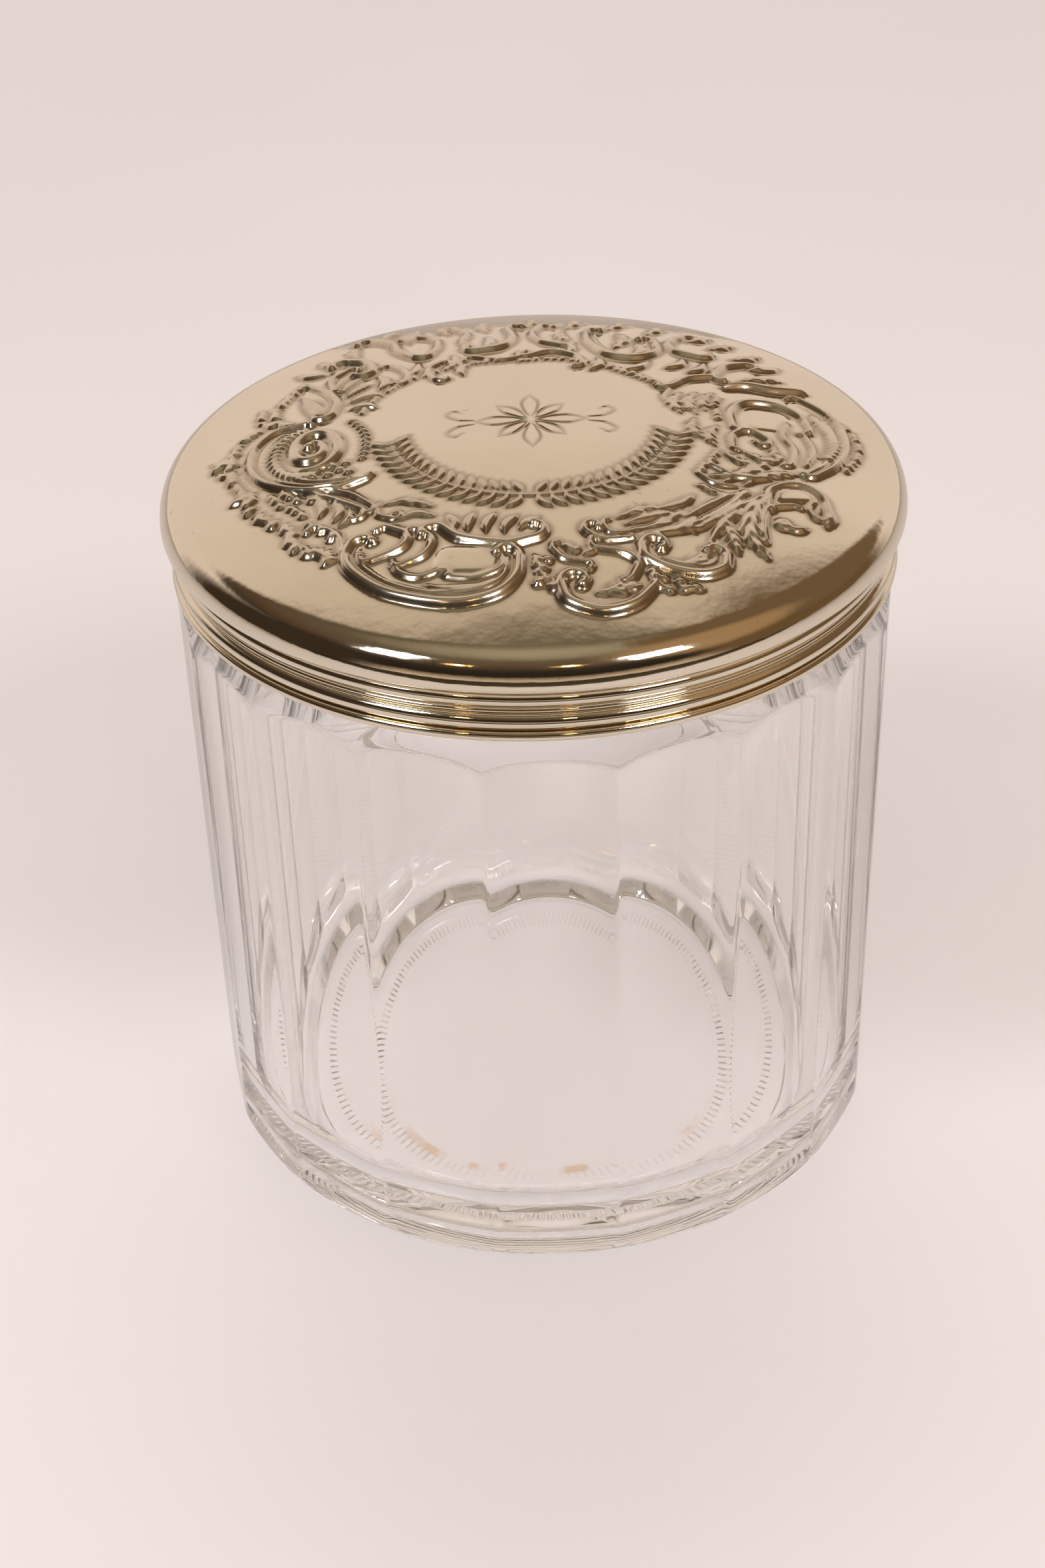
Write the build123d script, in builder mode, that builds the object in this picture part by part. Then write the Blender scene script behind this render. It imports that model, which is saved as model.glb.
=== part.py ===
"""Panelled glass cigar jar with a slip-on, die-struck silver-plated lid.

Millimetres, +Z up.  The origin is the centre of the foot, on the table.  A flat panel faces -Y.
Two rigid groups: the jar, and the lid, which lifts straight off the neck.
"""
from build123d import *
from math import asin, atan2, cos, degrees, radians, sin, sqrt, tan
import os

# ------------------------------------------------------------------ glass jar, driving sizes
panel_count = 18             # flat panels round the body
ridge_softening = 0.12       # how much the mould's rounding takes off each corner
panel_draft = 1.0            # degrees by which the body opens upwards
lid_seat_z = 122.0           # level of the lid's lower edge when it is closed
shoulder_radius = 16.0       # rounding from the body in to the neck
shoulder_drop = 11.0         # from the lid's lower edge down to where that rounding starts
shoulder_step = 3.34         # how far the shoulder, where it starts, is outside the neck
shoulder_swell = 0.5         # how far the round shoulder would stand out of the corners, unpanelled
heel_radius = 4.6            # rounding between the body and the foot
neck_wall = 3.7              # glass between the mouth and the neck's outside
bore_draft = 0.3             # degrees by which the inside opens upwards
floor_thickness = 6.3        # glass between the cavity and the hollow of the foot
floor_radius = 12.0          # rounding between the inside wall and the floor
foot_ring_width = 8.0        # ring that the jar stands on
foot_hollow = 1.2            # depth of the hollow inside that ring
lip_round = 1.0              # fire-polished edges of the mouth

# ------------------------------------------------------------------ lid, driving sizes
skirt_radius = 66.8          # outside of the skirt between its beads; the neck and the body follow it
lid_overhang = 3.2           # how far the widest part of the dome stands out of the skirt
crown_rise = 27.0            # from the lid's lower edge to the top of the dome
bulge_rise = 11.5            # from the lid's lower edge to the widest part
bulge_radius = 6.2           # rounding over the widest part
under_radius = 1.3           # rounding under the widest part
sheet = 0.8                  # thickness of the dome and the skirt
ledge_reach = 1.9            # how far the flat turned in at the dome's foot reaches in past the skirt
rim_wire_height = 1.8        # wire round the skirt's lower edge
rim_wire_stand = 1.8         # how far it stands out of the skirt
bead_gap = 0.15              # flat between neighbouring beads
lower_bead = (3.2, 1.7)      # height and stand-out, over the rim wire
line_bead = (1.1, 0.9)       # the thin line between the two beads
upper_bead = (2.9, 1.6)      # under the dome
neck_clearance = 0.30        # radial gap between the skirt and the glass neck

# ------------------------------------------------------------------ struck ornament, driving sizes
drawn_radius = 70.0          # widest radius of the lid that the ornament's sizes are drawn for
relief_root = 0.4            # how far the ornament is sunk in the dome's sheet
relief_draft = 25            # degrees by which its sides lean in
knob_share = 1.5             # knob that ends a scroll, as a share of the scroll's width
knob_sides = 6
shell_coil = (-86, 40.8)     # the shell's middle: degrees round the lid and radius
# each C-scroll: degrees round the lid from the front towards +X, radius at which its centre lies,
# its own radius, degrees its middle turns from straight outwards, degrees it spans, half its width
scrolls = (
    (-25, 43.6, 15.4, 14, 196, 1.35),        # large C round the plain cartouche
    (-37, 46.2, 4.6, 127, 210, 1.0),         # volute at its upper end
    (-15, 27.5, 13.9, 13, 84, 1.3),          # long shallow scroll under the medallion
    (13, 50.9, 8.3, -16, 200, 1.35),         # C-scroll right of the front
    (32, 48.2, 7.4, -38, 186, 1.25),         # its neighbour
    (57, 62.3, 15.0, -152, 90, 1.7),         # hanging plume
    (62, 53.3, 5.8, 118, 226, 1.05),         # C over it
    (90, 37.6, 20.9, 0, 96, 1.1),            # long scroll down the right
    (94, 44.7, 7.6, 91, 200, 1.0),           # C round the plain panel on the right
    (-84, 38.8, 13.3, 16, 195, 1.1),         # frame of the shell
    (*shell_coil, 6.4, -94, 280, 2.0),       # coil of the shell
    (-107, 52.0, 13.3, -148, 74, 1.1),       # hooked scroll over the shell
    (-129, 46.5, 5.0, 39, 150, 1.0),
    (-145, 48.0, 7.0, -120, 150, 1.1),       # scrolls across the back
    (-161, 47.5, 5.6, 60, 190, 1.0),
    (-176, 47.5, 6.4, -100, 190, 1.1),
    (169, 48.5, 5.6, 100, 190, 1.0),
    (153, 46.0, 7.0, -153, 200, 1.1),
    (134, 53.0, 6.2, 110, 180, 1.1),
)
# each leaf: degrees round the lid, radius at its middle, length, half its width, and the degrees
# it is turned from straight outwards
leaves = (
    (-66, 40.0, 15.0, 1.3, 105),
    (-111, 44.2, 12.0, 1.9, 120),
    (43, 49.3, 12.5, 1.6, -37),
    (47, 44.1, 17.0, 1.5, 87),
    (112, 48.9, 17.0, 1.5, -13),
    (-153, 55.0, 9.0, 1.6, 10),
    (-169, 55.0, 8.0, 1.4, -15),
    (161, 55.0, 9.0, 1.4, 15),
    (145, 54.5, 8.0, 1.5, 20),
)
gadroon_count = 8            # the shell's gadroons, round its coil
gadroon_first = -96          # degrees from straight outwards
gadroon_step = 25
gadroon_inner = 8.6          # from the coil's centre to their near ends
gadroon_outer = 12.4         # and to their far ends
gadroon_half_width = 0.9

# ------------------------------------------------------------------ inside of the lid, driving sizes
liner_sheet = 0.6            # plate that closes the hollow back of the ornament
liner_clearance = 0.15       # radial gap between that plate and the skirt
seal_thickness = 1.5         # cork ring that the lip closes against
seal_overhang = 0.8          # how far the cork reaches in past the mouth of the jar
cup_radius = 30.0            # inside of the moistener's cup
cup_depth = 8.0
cup_sheet = 0.5
cup_corner = 2.5             # rounding between the cup's wall and its top
cup_flange = 3.0             # rim by which the cup is soldered to the plate
pad_clearance = 0.3
grille_sheet = 0.6
grille_overlap = 2.0         # how far the grille covers the plate round the cup's mouth
grille_hole_radius = 1.8
grille_rings = 3             # rings of holes round the middle one
grille_pitch = 7.5           # between rings; each ring has six holes more than the last

# ------------------------------------------------------------------ levels and radii that follow
draft_rate = tan(radians(panel_draft))
bore_rate = tan(radians(bore_draft))
shoulder_z = lid_seat_z - shoulder_drop
bulge_z = lid_seat_z + bulge_rise
crown_z = lid_seat_z + crown_rise
ledge_z = bulge_z - under_radius             # underside of the flat turned in at the dome's foot
liner_z = ledge_z - liner_sheet
lip_z = liner_z - seal_thickness             # the lip closes against the cork
skirt_bore = skirt_radius - sheet
neck_radius = skirt_bore - neck_clearance
lid_radius = skirt_radius + lid_overhang
bore_radius_at_lip = neck_radius - neck_wall
shoulder_start = neck_radius + shoulder_step
ridge_radius = shoulder_start - shoulder_swell - shoulder_z * draft_rate   # panel corner at the table
foot_radius = ridge_radius - heel_radius
floor_z = foot_hollow + floor_thickness
over = 1.0                                   # how far a cutter reaches past what it cuts


def bore_radius(z):
    """Inside radius of the jar at height z."""
    return bore_radius_at_lip - (lip_z - z) * bore_rate


def shoulder_top():
    """Height at which the rounded shoulder meets the upright neck."""
    inward = shoulder_start - neck_radius
    return shoulder_z + sqrt(shoulder_radius**2 - (shoulder_radius - inward) ** 2)


# ------------------------------------------------------------------ glass jar
with BuildPart() as glass_jar:
    # turned body: foot, heel, shoulder, neck and lip
    with BuildSketch(Plane.XZ):
        with BuildLine():
            shoulder_centre = (shoulder_start - shoulder_radius, shoulder_z)
            shoulder_turn = degrees(asin((shoulder_top() - shoulder_z) / shoulder_radius))
            Line((0, 0), (foot_radius, 0))
            CenterArc((foot_radius, heel_radius), heel_radius, -90, 90)
            Line((ridge_radius, heel_radius), (shoulder_start, shoulder_z))
            CenterArc(shoulder_centre, shoulder_radius, 0, shoulder_turn)
            Line((neck_radius, shoulder_top()), (neck_radius, lip_z))
            Line((neck_radius, lip_z), (0, lip_z))
            Line((0, lip_z), (0, 0))
        make_face()
    revolve(axis=Axis.Z)
    # the panels: an opening prism trims the turned body, and a cone softens the prism's corners
    with BuildSketch(Plane.XY):
        RegularPolygon(ridge_radius, panel_count)
    extrude(amount=lip_z, taper=-panel_draft, mode=Mode.INTERSECT)
    with BuildSketch(Plane.XY):
        Circle(ridge_radius - ridge_softening)
    extrude(amount=lip_z, taper=-panel_draft, mode=Mode.INTERSECT)
    # cavity
    with BuildSketch(Plane.XZ) as cavity:
        with BuildLine():
            top = lip_z + over
            corner = (bore_radius(floor_z), floor_z)
            Polyline((0, floor_z), corner, (bore_radius(top), top), (0, top), close=True)
        make_face()
        fillet(cavity.vertices().group_by(Axis.Y)[0].sort_by(Axis.X)[-1], radius=floor_radius)
    revolve(axis=Axis.Z, mode=Mode.SUBTRACT)
    # hollow under the foot
    with BuildSketch(Plane.XY):
        Circle(foot_radius - foot_ring_width)
    extrude(amount=foot_hollow, taper=45, mode=Mode.SUBTRACT)
    fillet(glass_jar.edges().filter_by(GeomType.CIRCLE).group_by(Axis.Z)[-1], radius=lip_round)
glass_jar.part.label = "glass_jar"


# ------------------------------------------------------------------ lid: dome, skirt and rim wire
def crown_radius():
    """Radius of the crown's arc, which runs smoothly into the rounding over the widest part."""
    rise = crown_z - bulge_z
    reach = lid_radius - bulge_radius
    return (reach**2 + rise**2 - bulge_radius**2) / (2 * (rise - bulge_radius))


def dome_arcs(inset):
    """Arcs of the dome's section, inset from its outer face: crown, widest part, underside."""
    crown_centre_z = crown_z - crown_radius()
    meet = degrees(atan2(bulge_z - crown_centre_z, lid_radius - bulge_radius))
    CenterArc((0, crown_centre_z), crown_radius() - inset, meet, 90 - meet)
    CenterArc((lid_radius - bulge_radius, bulge_z), bulge_radius - inset, 0, meet)
    CenterArc((lid_radius - under_radius, bulge_z), under_radius - inset, -90, 90)


grow = lid_radius / drawn_radius             # the ornament keeps its share of the lid


dome_centre = Vector(0, 0, crown_z - crown_radius())


def in_sheet(azimuth, radius, reach, turn):
    """Point in the dome's sheet, at a reach from a place on the lid and turned from outwards."""
    outward = radians(azimuth - 90)
    aim = outward + radians(turn)
    x = grow * (radius * cos(outward) + reach * cos(aim))
    y = grow * (radius * sin(outward) + reach * sin(aim))
    return dome_centre + Vector(x, y, sqrt((crown_radius() - relief_root) ** 2 - x**2 - y**2))


# leaves and gadroons are pointed ovals: root, tip and half width of each
ovals = []
for azimuth, radius, length, half_width, turn in leaves:
    root = in_sheet(azimuth, radius, -length / 2, turn)
    ovals.append((root, in_sheet(azimuth, radius, length / 2, turn), half_width * grow))
for place in range(gadroon_count):
    turn = gadroon_first + place * gadroon_step
    root = in_sheet(*shell_coil, gadroon_inner, turn)
    ovals.append((root, in_sheet(*shell_coil, gadroon_outer, turn), gadroon_half_width * grow))

with BuildPart() as ornament:
    for azimuth, radius, size, turn, span, half_width in scrolls:
        middle = in_sheet(azimuth, radius, 0, 0)
        first = in_sheet(azimuth, radius, size, turn - span / 2)
        last = in_sheet(azimuth, radius, size, turn + span / 2)
        width = 2 * half_width * grow
        height = width / 2 + relief_root
        with BuildLine() as run:
            ThreePointArc(first, in_sheet(azimuth, radius, size, turn), last)
        with BuildSketch(Plane(origin=first, x_dir=middle - first, z_dir=run.line % 0)):
            Trapezoid(width, height, 90 - relief_draft, align=(Align.CENTER, Align.MIN))
        sweep()
        for end in (first, last):
            with BuildSketch(Plane(origin=end, z_dir=end - dome_centre)):
                RegularPolygon(knob_share * width / 2, knob_sides)
            extrude(amount=height, taper=relief_draft)
    for root, tip, half_width in ovals:
        middle = (root + tip) / 2
        half_length = (tip - root).length / 2
        with BuildSketch(Plane(origin=middle, x_dir=tip - root, z_dir=middle - dome_centre)):
            with BuildLine():
                ThreePointArc((-half_length, 0), (0, -half_width), (half_length, 0))
                ThreePointArc((half_length, 0), (0, half_width), (-half_length, 0))
            make_face()
        extrude(amount=half_width + relief_root, taper=relief_draft)

with BuildPart() as lid_dome:
    with BuildSketch(Plane.XZ):
        with BuildLine():
            dome_arcs(0)
            dome_arcs(sheet)
            ledge_outer = lid_radius - under_radius
            ledge_inner = skirt_bore - ledge_reach
            Line((0, crown_z), (0, crown_z - sheet))
            Line((ledge_outer, ledge_z), (ledge_inner, ledge_z))
            Line((ledge_inner, ledge_z), (ledge_inner, ledge_z + sheet))
            Line((ledge_inner, ledge_z + sheet), (ledge_outer, ledge_z + sheet))
        make_face()
    revolve(axis=Axis.Z)
    add(ornament.part)
lid_dome.part.label = "lid_dome"


def skirt_beads():
    """Each bead of the skirt as (middle height, height, stand-out), from the rim wire upwards."""
    beads = []
    z = lid_seat_z + rim_wire_height + bead_gap
    for height, stand in (lower_bead, line_bead, upper_bead):
        beads.append((z + height / 2, height, stand))
        z += height + bead_gap
    return beads


skirt_z = lid_seat_z + rim_wire_height
skirt_height = ledge_z - skirt_z

with BuildPart() as lid_skirt:
    with BuildSketch(Plane.XZ):
        with Locations((skirt_bore, skirt_z)):
            Rectangle(sheet, skirt_height, align=(Align.MIN, Align.MIN))
        for bead_z, height, stand in skirt_beads():
            with Locations((skirt_radius, bead_z)):
                Ellipse(stand, height / 2)
        # the bore, with the hollow that rolling leaves behind each of the two large beads
        with Locations((skirt_bore, skirt_z)):
            Rectangle(skirt_bore, skirt_height, align=(Align.MAX, Align.MIN), mode=Mode.SUBTRACT)
        for bead_z, height, stand in skirt_beads():
            if height > 2 * sheet:
                with Locations((skirt_bore, bead_z)):
                    Ellipse(stand, height / 2 - sheet, mode=Mode.SUBTRACT)
    revolve(axis=Axis.Z)
lid_skirt.part.label = "lid_skirt"

with BuildPart() as lid_rim_wire:
    with BuildSketch(Plane.XZ) as wire_section:
        with Locations((skirt_bore, lid_seat_z)):
            Rectangle(sheet + rim_wire_stand, rim_wire_height, align=(Align.MIN, Align.MIN))
        fillet(wire_section.vertices().group_by(Axis.X)[-1], radius=rim_wire_height * 0.45)
    revolve(axis=Axis.Z)
lid_rim_wire.part.label = "lid_rim_wire"

# ------------------------------------------------------------------ inside of the lid
with BuildPart() as lid_liner:
    with BuildSketch(Plane.XY.offset(liner_z)):
        Circle(skirt_bore - liner_clearance)
        Circle(cup_radius, mode=Mode.SUBTRACT)
    extrude(amount=liner_sheet)
lid_liner.part.label = "lid_liner"

with BuildPart() as lid_seal:
    with BuildSketch(Plane.XY.offset(lip_z)):
        Circle(skirt_bore - liner_clearance)
        Circle(bore_radius_at_lip - seal_overhang, mode=Mode.SUBTRACT)
    extrude(amount=seal_thickness)
lid_seal.part.label = "lid_seal"

with BuildPart() as moistener_cup:
    with BuildSketch(Plane.XY.offset(ledge_z)):
        Circle(cup_radius + cup_sheet)
    extrude(amount=cup_depth)
    fillet(moistener_cup.edges().group_by(Axis.Z)[-1], radius=cup_corner + cup_sheet)
    offset(amount=-cup_sheet, openings=moistener_cup.faces().sort_by(Axis.Z)[0])
    with BuildSketch(Plane.XY.offset(ledge_z)):
        Circle(cup_radius + cup_flange)
        Circle(cup_radius, mode=Mode.SUBTRACT)
    extrude(amount=cup_sheet)
moistener_cup.part.label = "moistener_cup"

with BuildPart() as moistener_pad:
    with BuildSketch(Plane.XY.offset(liner_z)):
        Circle(cup_radius - pad_clearance)
    extrude(amount=liner_sheet + cup_depth - cup_sheet - pad_clearance)
    fillet(moistener_pad.edges().group_by(Axis.Z)[-1], radius=cup_corner)
moistener_pad.part.label = "moistener_pad"

with BuildPart() as moistener_grille:
    with BuildSketch(Plane.XY.offset(liner_z - grille_sheet)):
        Circle(cup_radius + grille_overlap)
        Circle(grille_hole_radius, mode=Mode.SUBTRACT)
        for ring in range(1, grille_rings + 1):
            with PolarLocations(ring * grille_pitch, 6 * ring):
                Circle(grille_hole_radius, mode=Mode.SUBTRACT)
    extrude(amount=grille_sheet)
moistener_grille.part.label = "moistener_grille"

# ------------------------------------------------------------------ export
os.makedirs("parts", exist_ok=True)
pieces = (glass_jar, lid_dome, lid_skirt, lid_rim_wire, lid_liner, lid_seal,
          moistener_cup, moistener_pad, moistener_grille)
for piece in pieces:
    export_step(piece.part, f"parts/{piece.part.label}.step")
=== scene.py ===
"""Looks of the cigar jar: pressed glass, a struck silver-plated lid, and a pale studio."""
from math import atan2, cos, pi, radians, sin, sqrt, tan

import bpy
import numpy as np
from mathutils import Matrix, Vector


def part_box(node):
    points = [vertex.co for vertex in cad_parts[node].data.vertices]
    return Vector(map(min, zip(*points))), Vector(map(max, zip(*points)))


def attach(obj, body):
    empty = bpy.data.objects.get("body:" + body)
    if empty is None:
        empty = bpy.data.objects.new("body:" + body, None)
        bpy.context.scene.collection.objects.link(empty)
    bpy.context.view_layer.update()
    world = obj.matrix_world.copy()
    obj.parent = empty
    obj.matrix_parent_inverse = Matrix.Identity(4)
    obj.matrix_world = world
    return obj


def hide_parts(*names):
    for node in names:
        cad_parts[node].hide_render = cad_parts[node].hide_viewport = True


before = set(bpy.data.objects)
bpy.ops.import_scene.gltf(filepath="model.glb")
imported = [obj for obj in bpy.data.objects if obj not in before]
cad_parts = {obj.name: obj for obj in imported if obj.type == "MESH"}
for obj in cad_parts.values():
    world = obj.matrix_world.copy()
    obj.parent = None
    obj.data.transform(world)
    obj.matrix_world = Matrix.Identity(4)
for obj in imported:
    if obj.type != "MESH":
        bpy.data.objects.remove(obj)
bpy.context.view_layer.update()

MM = 0.001

# ---- sizes read from the frame, in mm


def edges_mm(node):
    """Lowest and highest corner of a CAD node, in mm."""
    low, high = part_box(node)
    return low / MM, high / MM


dome_low, dome_high = edges_mm("lid_dome")
wire_low, wire_high = edges_mm("lid_rim_wire")
LID_RADIUS = dome_high.x
CROWN_Z = dome_high.z
LEDGE_Z = dome_low.z
RIM_Z = wire_low.z
WIRE_TOP_Z = wire_high.z
WIRE_RADIUS = wire_high.x
LIP_Z = edges_mm("glass_jar")[1].z

# the same driving sizes as the solids, in mm and degrees
PANELS = 18
RIDGE_RADIUS = 66.6
DRAFT = tan(radians(1.0))
SHOULDER_RADIUS = 16.0
SHOULDER_Z = RIM_Z - 11.0
SHOULDER_SWELL = 0.5
HEEL_RADIUS = 4.6
BORE_RADIUS = 62.0
BORE_DRAFT = tan(radians(0.3))
FLOOR_Z = 7.5
FLOOR_RADIUS = 12.0
FOOT_RING_WIDTH = 8.0
FOOT_HOLLOW = 1.2
LIP_ROUND = 1.0
BULGE_Z = RIM_Z + 11.5
BULGE_RADIUS = 6.2
UNDER_RADIUS = 1.3
LEDGE_WIDTH = 4.6
SHEET = 0.8
SKIRT_RADIUS = 66.8
SKIRT_BORE = SKIRT_RADIUS - SHEET
NECK_RADIUS = SKIRT_BORE - 0.3
BEAD_GAP = 0.15
BEADS = ((3.2, 1.7), (1.1, 0.9), (2.9, 1.6))     # height and stand-out, from the rim wire up
WIRE_NOSE = 0.45             # rounding of the rim wire, as a share of its height

# finer than the solids: the glass, in mm
CORNER_SOFTNESS = 0.09       # how widely the faces of the glass blend at their corners
HEEL_LEAN = 0.05             # how fast the rounded heel opens above itself
BAND_Z = 12                  # below it the rings of the mesh lie closer together
FLAT_CENTRE = 0.5            # radius at which a mesh of rings is closed by one face
FOOT_EDGE = 1.5              # rounding of the foot ring's outer edge
RING_CHAMFER = (0.4, 0.15)   # of its inner edge
HOLLOW_CHAMFER = 0.5         # of the hollow's edge
TEETH_RADIUS = 44.5          # the ring of fine teeth pressed in the underside
TEETH_HALF_WIDTH = 2.2
TEETH_WEAR = 0.8             # 1 for crisp teeth, 0 for none
FOOT_TEETH = 140
STAIN_RADIUS = 42.0          # amber stains beside them
STAIN_HALF_WIDTH = 1.6

# the struck border of the lid
RELIEF_SHARE = 0.85          # of the heights given with each form
ENGRAVED_DEPTH = 0.2
RECESS_HEIGHT = 0.55         # ground lower than this beside a form counts as a recess
EYE_SHARE = 0.8625           # radius of the boss in a curl, as a share of the scroll's half width
FILLET = 0.12                # where two forms meet
SHADE_AND_TARNISH_REACH = 0.65         # how far the painted shade and tarnish spread from a form
BORDER_INNER = 25.0
BACK_SPREAD = 1.13           # how much wider the border is across the back

# ---- mesh helpers


def add_object(name, data):
    thing = bpy.data.objects.new(name, data)
    bpy.context.scene.collection.objects.link(thing)
    return thing


def new_object(name, vertices, faces):
    """A smooth-shaded mesh object from vertices in mm."""
    mesh = bpy.data.meshes.new(name)
    mesh.from_pydata((np.asarray(vertices) * MM).tolist(), [], faces)
    mesh.validate()
    mesh.polygons.foreach_set("use_smooth", [True] * len(mesh.polygons))
    mesh.update()
    return add_object(name, mesh)


def on_circle(radius, azimuth, z):
    """Points round the axis; radius and z are numbers or vary with azimuth."""
    return np.stack([radius * np.cos(azimuth), radius * np.sin(azimuth), z + 0 * azimuth], -1)


def ring_faces(rings, count, closed_tube=False):
    """Quads between successive rings of count vertices each."""
    index = np.arange(rings * count).reshape(rings, count)
    if closed_tube:
        index = np.vstack([index, index[:1]])
    a = index[:-1]
    b = index[1:]
    quads = np.stack([a, np.roll(a, -1, 1), np.roll(b, -1, 1), b], -1)
    return quads.reshape(-1, 4).tolist()


def closed_faces(rings, count):
    """Quads between rings, and one face over the first and the last."""
    last = (rings - 1) * count
    return ring_faces(rings, count) + [list(range(count))[::-1], list(range(last, last + count))]


def turned(name, section, count=360):
    """A ring-shaped body turned about the axis from a closed (radius, z) section."""
    azimuth = np.arange(count) * 2 * pi / count
    points = np.concatenate([on_circle(radius, azimuth, z) for radius, z in section])
    return new_object(name, points, ring_faces(len(section), count, closed_tube=True))


def arc(centre, radius, start, end, steps):
    """Points of an arc in a section, angles in degrees from the radial direction."""
    angles = np.radians(np.linspace(start, end, steps))
    return [(centre[0] + radius * cos(t), centre[1] + radius * sin(t)) for t in angles]


# ---- materials


def nodes_of(name):
    """A new material, its node tree and its shader."""
    material = bpy.data.materials.new(name)
    material.use_nodes = True
    tree = material.node_tree
    return material, tree, tree.nodes["Principled BSDF"]


def feed(tree, fed, inputs):
    """Gives a node's sockets, by name or place, their values: another socket, a number or a colour."""
    for key, value in inputs.items():
        socket = fed.inputs[key]
        if isinstance(value, bpy.types.NodeSocket):
            tree.links.new(value, socket)
        elif value is not None:
            socket.default_value = (*value, 1.0) if socket.type == "RGBA" and len(value) == 3 else value


def node(tree, kind, inputs=None, **settings):
    """Adds a node with its inputs fed and its properties set."""
    made = tree.nodes.new(kind)
    for key, value in settings.items():
        setattr(made, key, value)
    feed(tree, made, inputs or {})
    return made


def ramp(tree, source, *stops):
    """A colour ramp fed by source; stops are (place, colour)."""
    made = node(tree, "ShaderNodeValToRGB", {"Fac": source})
    elements = made.color_ramp.elements
    while len(elements) < len(stops):
        elements.new(0.5)
    for element, (place, colour) in zip(elements, stops):
        element.position = place
        element.color = (*colour, 1.0)
    return made.outputs["Color"]


def map_range(tree, source, low, high, to_low, to_high, **settings):
    made = node(tree, "ShaderNodeMapRange", {"Value": source, "From Min": low, "From Max": high,
                                             "To Min": to_low, "To Max": to_high}, **settings)
    return made.outputs["Result"]


def math_node(tree, operation, first, second=None):
    """One Math node; each of its two inputs is a socket or a number."""
    return node(tree, "ShaderNodeMath", {0: first, 1: second}, operation=operation).outputs["Value"]


def product(tree, first, *others):
    for other in others:
        first = math_node(tree, "MULTIPLY", first, other)
    return first


def object_place(tree):
    """The place in the object's own frame, in metres."""
    return tree.nodes.new("ShaderNodeTexCoord").outputs["Object"]


def axes(tree, vector):
    split = node(tree, "ShaderNodeSeparateXYZ", {"Vector": vector})
    return [split.outputs[axis] for axis in "XYZ"]


def noise(tree, scale, detail, roughness=0.5, stretch=(1, 1, 1)):
    """Object-space noise; stretch squeezes it along the axes."""
    mapping = node(tree, "ShaderNodeMapping", {"Vector": object_place(tree), "Scale": stretch})
    made = node(tree, "ShaderNodeTexNoise", {"Vector": mapping.outputs["Vector"], "Scale": scale,
                                             "Detail": detail, "Roughness": roughness})
    return made.outputs["Fac"]


def bump(tree, shader, height, strength, distance):
    made = node(tree, "ShaderNodeBump", {"Height": height, "Strength": strength, "Distance": distance})
    feed(tree, shader, {"Normal": made.outputs["Normal"]})


def mix_colour(tree, factor, first, second, blend="MIX"):
    """Mixes two colours; the node's colour sockets are its inputs 6 and 7."""
    made = node(tree, "ShaderNodeMix", {0: factor, 6: first, 7: second}, data_type="RGBA", blend_type=blend)
    return made.outputs[2]


def mix_shaders(tree, factor, first, second):
    """Sends a mix of two shaders to the material's output."""
    both = node(tree, "ShaderNodeMixShader", {0: factor, 1: first, 2: second})
    feed(tree, tree.nodes["Material Output"], {"Surface": both.outputs["Shader"]})


def attribute(tree, name):
    return node(tree, "ShaderNodeAttribute", attribute_name=name).outputs["Fac"]


def silver_material(name, bright, dark, rough, worked_rough=0.0):
    """Polished plate: warm and softly clouded; round the ornament and in its recesses the colour is darker
    and browner, partly tarnish and partly painted shade.
    """
    material, tree, shader = nodes_of(name)
    ornament_tarnish_and_shade = attribute(tree, "ornament_tarnish_and_shade")
    dulled_and_shaded = tuple(0.6 * b + 0.4 * d for b, d in zip(bright, dark))
    base = ramp(tree, noise(tree, 38, 5, 0.6), (0.3, bright), (0.75, tuple(c * 0.92 for c in bright)))
    stain = ramp(tree, noise(tree, 95, 6, 0.7), (0.40, (0.25,) * 3), (0.66, (1.0,) * 3))
    # round the ornament the colour turns duller and browner in patches: partly tarnish, partly painted shade
    reach = ramp(tree, ornament_tarnish_and_shade, (0.1, (0.0,) * 3), (0.8, (0.9,) * 3))
    patchy = mix_colour(tree, 1.0, reach, stain, "MULTIPLY")
    base = mix_colour(tree, patchy, base, dulled_and_shaded)
    spots = map_range(tree, noise(tree, 310, 2, 0.6), 0.70, 0.78, 0.0, 0.35)
    base = mix_colour(tree, spots, base, dark)
    # recesses beside forms and engraved lines are darker: partly tarnish, partly painted shade
    base = mix_colour(tree, map_range(tree, attribute(tree, "recess"), 0.0, 1.0, 0.0, 0.8), base, dark)
    smear = noise(tree, 90, 4, 0.65, (1, 1, 3))
    smear = map_range(tree, smear, 0.3, 0.75, rough * 0.8, rough * 1.4)
    both = math_node(tree, "ADD", smear, map_range(tree, ornament_tarnish_and_shade, 0.0, 1.0, 0.0, worked_rough))
    feed(tree, shader, {"Metallic": 1.0, "Base Color": base, "Roughness": both})
    bump(tree, shader, noise(tree, 34, 5, 0.55), 0.16, 0.0016)
    return material


def cork_material():
    """Pressed cork: tan grains with dark flecks."""
    material, tree, shader = nodes_of("pressed_cork")
    grain = node(tree, "ShaderNodeTexVoronoi", {"Vector": object_place(tree), "Scale": 520.0})
    base = ramp(tree, grain.outputs["Color"], (0.1, (0.36, 0.21, 0.11)), (0.5, (0.60, 0.40, 0.23)),
                (0.9, (0.70, 0.50, 0.31)))
    feed(tree, shader, {"Base Color": base, "Roughness": 0.85})
    bump(tree, shader, grain.outputs["Distance"], 0.4, 0.0004)
    return material


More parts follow.
